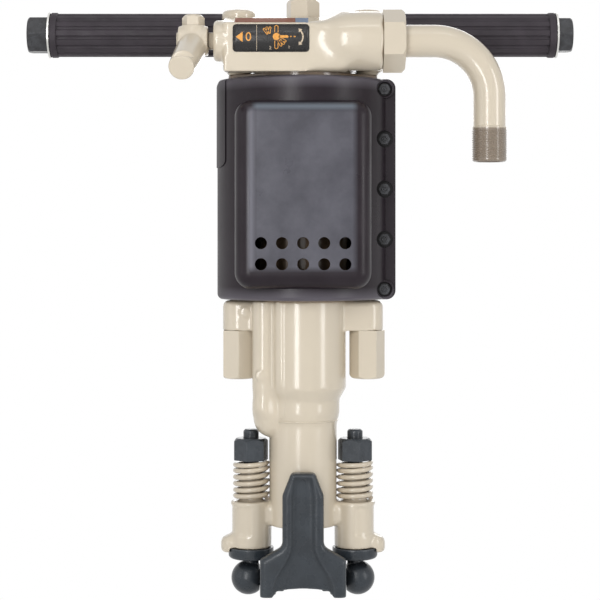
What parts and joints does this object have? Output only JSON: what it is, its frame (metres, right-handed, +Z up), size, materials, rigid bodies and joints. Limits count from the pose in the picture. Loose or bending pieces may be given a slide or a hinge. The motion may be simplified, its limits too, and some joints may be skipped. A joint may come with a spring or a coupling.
{
  "type": "pneumatic rock drill",
  "caption": "Hand-held pneumatic rock drill with T handle, throttle lever, swivel inlet pipe, moulded muffler and sprung steel retainer.",
  "frame": {"origin": "on the drill axis at the mouth of the chuck, where the drill steel goes in", "axes": "+Z up along the drill axis towards the backhead, +X towards the air inlet, -Y towards the muffler's vented front"},
  "size_m": [0.5532, 0.1727, 0.5936],
  "materials": {
    "cream_enamel": "gloss enamel over castings",
    "slate_enamel": "semi-gloss dark enamel on forgings",
    "black_oxide": "black oxide",
    "muffler_moulding": "moulded, satin",
    "grip_rubber": "ribbed rubber",
    "zinc_steel": "zinc plated",
    "steel": "machined and hardened",
    "bronze": "bronze bush",
    "spring_enamel": "enamelled spring wire",
    "cylinder_iron": "primed casting",
    "seal_rubber": "seal",
    "plate_black": "gloss plate"
  },
  "bodies": {
    "root": {"front_head": "cream_enamel", "backhead": "cream_enamel", "side_rod_left": "cream_enamel", "side_rod_right": "cream_enamel", "side_rod_nuts": "cream_enamel", "top_plug": "cream_enamel", "swivel_nut": "cream_enamel", "cylinder": "cylinder_iron", "stem_bearing": "bronze", "ratchet_ring": "steel", "valve_chest": "steel", "valve_cover": "steel", "blow_tube": "steel", "blow_tube_gasket": "seal_rubber", "detent_spring": "steel", "inlet_seal": "seal_rubber", "inlet_screen": "steel", "grip_left": "grip_rubber", "grip_right": "grip_rubber", "grip_tubes": "steel", "grip_washers": "zinc_steel", "handle_bolt": "black_oxide", "handle_nut": "black_oxide", "muffler_front": "muffler_moulding", "muffler_rear": "muffler_moulding", "muffler_bolts": "black_oxide", "muffler_nuts": "black_oxide", "retainer_spring_left": "spring_enamel", "retainer_spring_right": "spring_enamel", "control_plate": "plate_black"},
    "chuck": {"chuck": "steel", "chuck_driver": "bronze"},
    "piston": {"piston": "steel", "rifle_nut": "bronze"},
    "rifle_bar": {"rifle_bar": "steel", "pawl_plungers": "steel", "pawl_springs": "steel"},
    "pawl_1": {"pawl_1": "steel"},
    "pawl_2": {"pawl_2": "steel"},
    "pawl_3": {"pawl_3": "steel"},
    "pawl_4": {"pawl_4": "steel"},
    "valve": {"valve": "steel"},
    "throttle": {"throttle_valve": "steel", "throttle_lever": "cream_enamel", "lever_clamp_bolt": "cream_enamel"},
    "detent": {"detent_plunger": "steel"},
    "gooseneck": {"gooseneck": "cream_enamel"},
    "retainer_bolts": {"retainer_bolt_left": "slate_enamel", "retainer_bolt_right": "slate_enamel", "retainer_bolt_nuts": "slate_enamel"},
    "retainer": {"retainer": "slate_enamel"}
  },
  "joints": [
    {"name": "chuck_turn", "type": "hinge", "parent": "root", "child": "chuck", "pos_m": [0, 0, 0.05], "axis": [0, 0, 1], "continuous": true},
    {"name": "piston_stroke", "type": "slide", "parent": "chuck", "child": "piston", "axis": [0, 0, 1], "range_m": [0, 0.06]},
    {"name": "rifle_bar_turn", "type": "hinge", "parent": "chuck", "child": "rifle_bar", "pos_m": [0, 0, 0.42], "axis": [0, 0, -1], "range_deg": [0, 22.5]},
    {"name": "valve_shift", "type": "slide", "parent": "root", "child": "valve", "axis": [0, 0, 1], "range_m": [0, 0.0015]},
    {"name": "throttle_turn", "type": "hinge", "parent": "root", "child": "throttle", "pos_m": [-0.107, -0.042, 0.478], "axis": [-1, 0, 0], "range_deg": [0, 85]},
    {"name": "detent_slide", "type": "slide", "parent": "root", "child": "detent", "axis": [0, -1, 0], "range_m": [0, 0.0012], "stiffness_N_per_m": 1500},
    {"name": "inlet_swivel", "type": "hinge", "parent": "root", "child": "gooseneck", "pos_m": [0.1, -0.042, 0.478], "axis": [1, 0, 0], "range_deg": [-225, 65]},
    {"name": "retainer_bolts_slide", "type": "slide", "parent": "root", "child": "retainer_bolts", "axis": [0, 0, -1], "range_m": [0, 0.008], "stiffness_N_per_m": 20000, "springref_m": -0.01, "deforming": ["retainer_spring_left", "retainer_spring_right"]},
    {"name": "retainer_swing", "type": "hinge", "parent": "retainer_bolts", "child": "retainer", "pos_m": [0, 0, -0.053], "axis": [1, 0, 0], "range_deg": [0, 100]},
    {"name": "pawl_1_swing", "type": "hinge", "parent": "rifle_bar", "child": "pawl_1", "pos_m": [0.02, 0, 0.428], "axis": [0, 0, -1], "range_deg": [0, 24]},
    {"name": "pawl_2_swing", "type": "hinge", "parent": "rifle_bar", "child": "pawl_2", "pos_m": [0, 0.02, 0.428], "axis": [0, 0, -1], "range_deg": [0, 24]},
    {"name": "pawl_3_swing", "type": "hinge", "parent": "rifle_bar", "child": "pawl_3", "pos_m": [-0.02, 0, 0.428], "axis": [0, 0, -1], "range_deg": [0, 24]},
    {"name": "pawl_4_swing", "type": "hinge", "parent": "rifle_bar", "child": "pawl_4", "pos_m": [0, -0.02, 0.428], "axis": [0, 0, -1], "range_deg": [0, 24]}
  ],
  "couplings": [
    {"joint": "rifle_bar_turn", "follows": "piston_stroke", "rad_per_m": 6.545},
    {"joint": "pawl_2_swing", "follows": "pawl_1_swing", "ratio": 1},
    {"joint": "pawl_3_swing", "follows": "pawl_1_swing", "ratio": 1},
    {"joint": "pawl_4_swing", "follows": "pawl_1_swing", "ratio": 1}
  ]
}
